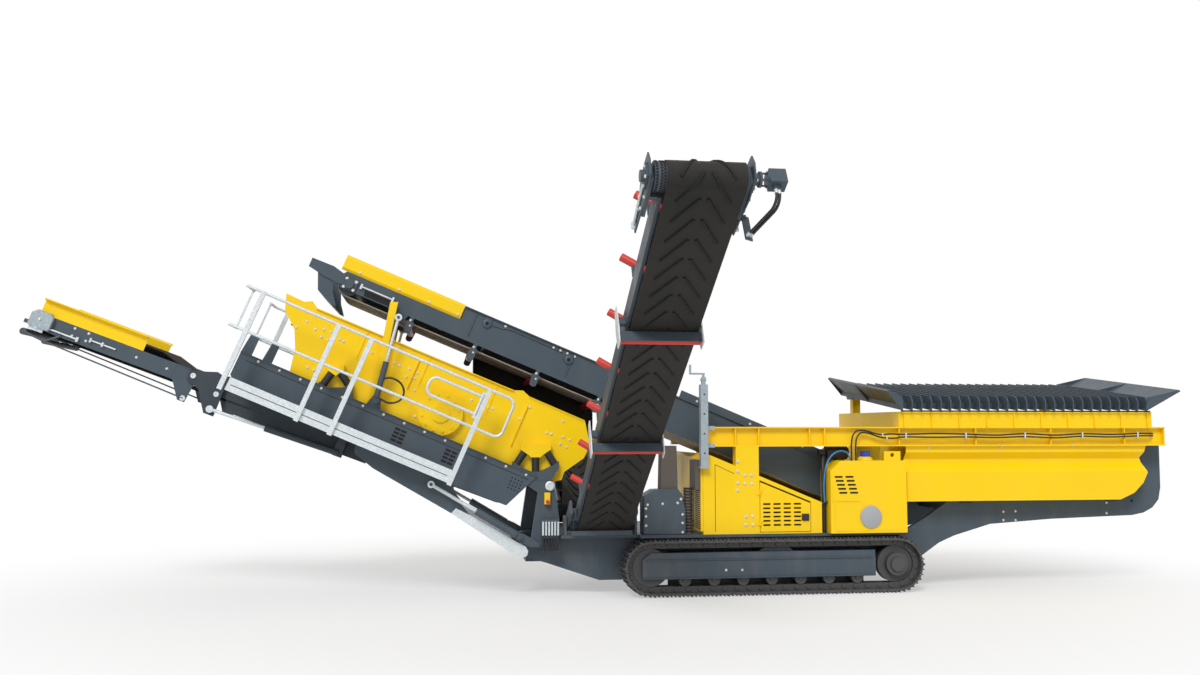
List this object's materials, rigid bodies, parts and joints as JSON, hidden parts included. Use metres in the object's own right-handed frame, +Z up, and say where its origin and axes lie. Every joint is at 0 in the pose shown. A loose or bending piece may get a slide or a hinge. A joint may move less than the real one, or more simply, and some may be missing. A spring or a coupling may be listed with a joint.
{
  "type": "vibrating screen",
  "caption": "Tracked mobile vibrating screen with a tipping-grid feed hopper, inclined main conveyor, sprung screen box, walkways and stockpiling conveyors.",
  "frame": {"origin": "ground level, on the machine centreline, at the middle of its length", "axes": "+X towards the feed hopper, -Y towards the engine-door side, +Z up"},
  "size_m": [15.4457, 13.7917, 4.4799],
  "materials": {
    "belt_rubber": "dusty conveyor rubber",
    "black_plastic": "black moulded plastic",
    "deck_mesh": "worn wire mesh",
    "galvanised": "hot-dip galvanised steel",
    "hose_rubber": "black hydraulic hose",
    "radiator_mesh": "dusty painted mesh",
    "roller_red": "red painted rollers",
    "slate_paint": "semi-gloss blue-grey paint",
    "spring_rubber": "black moulded rubber",
    "stack_paint": "heat-browned grey paint",
    "track_steel": "worn dark steel",
    "yellow_paint": "gloss yellow paint"
  },
  "bodies": {
    "base": {"chassis": "slate_paint", "rear_frame": "slate_paint", "track_frames": "slate_paint", "track_chains": "track_steel", "track_wheels": "track_steel", "engine_house": "yellow_paint", "radiator_grille": "radiator_mesh", "tanks": "yellow_paint", "tank_fittings": "yellow_paint", "air_filter": "black_plastic", "exhaust": "slate_paint", "exhaust_stack": "stack_paint", "support_jack": "galvanised", "hopper_beams": "yellow_paint", "hopper_body": "yellow_paint", "hopper_panels": "yellow_paint", "feeder_frame": "slate_paint", "feeder_belt": "belt_rubber", "main_frame": "slate_paint", "main_belt": "belt_rubber", "main_covers": "yellow_paint", "main_idlers": "roller_red", "screen_sides": "yellow_paint", "screen_decks": "deck_mesh", "screen_springs": "spring_rubber", "exciter": "yellow_paint", "subframe": "slate_paint", "conveyor_struts": "yellow_paint", "walkways": "galvanised", "handrails": "galvanised", "fines_frame": "slate_paint", "fines_belt": "belt_rubber", "lift_arms": "slate_paint", "lift_struts": "galvanised", "valve_bank": "slate_paint", "rubber_curtain": "belt_rubber", "side_feet": "slate_paint"},
    "near_conveyor": {"near_side_frame": "slate_paint", "near_side_belt": "belt_rubber", "near_side_rollers": "roller_red", "near_side_drive": "slate_paint", "near_side_fittings": "galvanised", "near_drive_hoses": "hose_rubber"},
    "far_conveyor": {"far_side_frame": "slate_paint", "far_side_belt": "belt_rubber", "far_side_rollers": "roller_red", "far_side_drive": "slate_paint", "far_side_fittings": "galvanised", "far_drive_hoses": "hose_rubber"},
    "tail": {"tail_frame": "slate_paint", "tail_belt": "belt_rubber", "tail_covers": "yellow_paint", "tail_fittings": "galvanised"},
    "grid": {"tipping_grid": "slate_paint", "grid_wings": "slate_paint"},
    "door": {"engine_door": "yellow_paint"},
    "near_gate_leaf": {"near_gate": "galvanised"},
    "far_gate_leaf": {"far_gate": "galvanised"},
    "crank": {"jack_crank": "galvanised"}
  },
  "joints": [
    {"name": "near_conveyor_raise", "type": "hinge", "parent": "base", "child": "near_conveyor", "pos_m": [-0.35, -0.9, 0.965], "axis": [-1, 0, 0], "range_deg": [-10, 36]},
    {"name": "far_conveyor_raise", "type": "hinge", "parent": "base", "child": "far_conveyor", "pos_m": [-0.35, 0.9, 0.965], "axis": [1, 0, 0], "range_deg": [-5, 42]},
    {"name": "tail_fold", "type": "hinge", "parent": "base", "child": "tail", "pos_m": [-5.56823, 0, 2.84468], "axis": [0, 1, 0], "range_deg": [0, 68]},
    {"name": "grid_tip", "type": "hinge", "parent": "base", "child": "grid", "pos_m": [5.5, 1.2, 2.665], "axis": [-1, 0, 0], "range_deg": [0, 50]},
    {"name": "engine_door_swing", "type": "hinge", "parent": "base", "child": "door", "pos_m": [1.747, -1.164, 1.15], "axis": [0, 0, -1], "range_deg": [0, 105]},
    {"name": "near_gate_swing", "type": "hinge", "parent": "base", "child": "near_gate_leaf", "pos_m": [-1.96277, -1.275, 2.46674], "axis": [0.3907, 0, 0.9205], "range_deg": [0, 95]},
    {"name": "far_gate_swing", "type": "hinge", "parent": "base", "child": "far_gate_leaf", "pos_m": [-1.96277, 1.275, 2.46674], "axis": [-0.3907, 0, -0.9205], "range_deg": [0, 95]},
    {"name": "jack_crank_turn", "type": "hinge", "parent": "base", "child": "crank", "pos_m": [0.983, -1.204, 2.85], "axis": [0, 0, 1], "continuous": true}
  ]
}
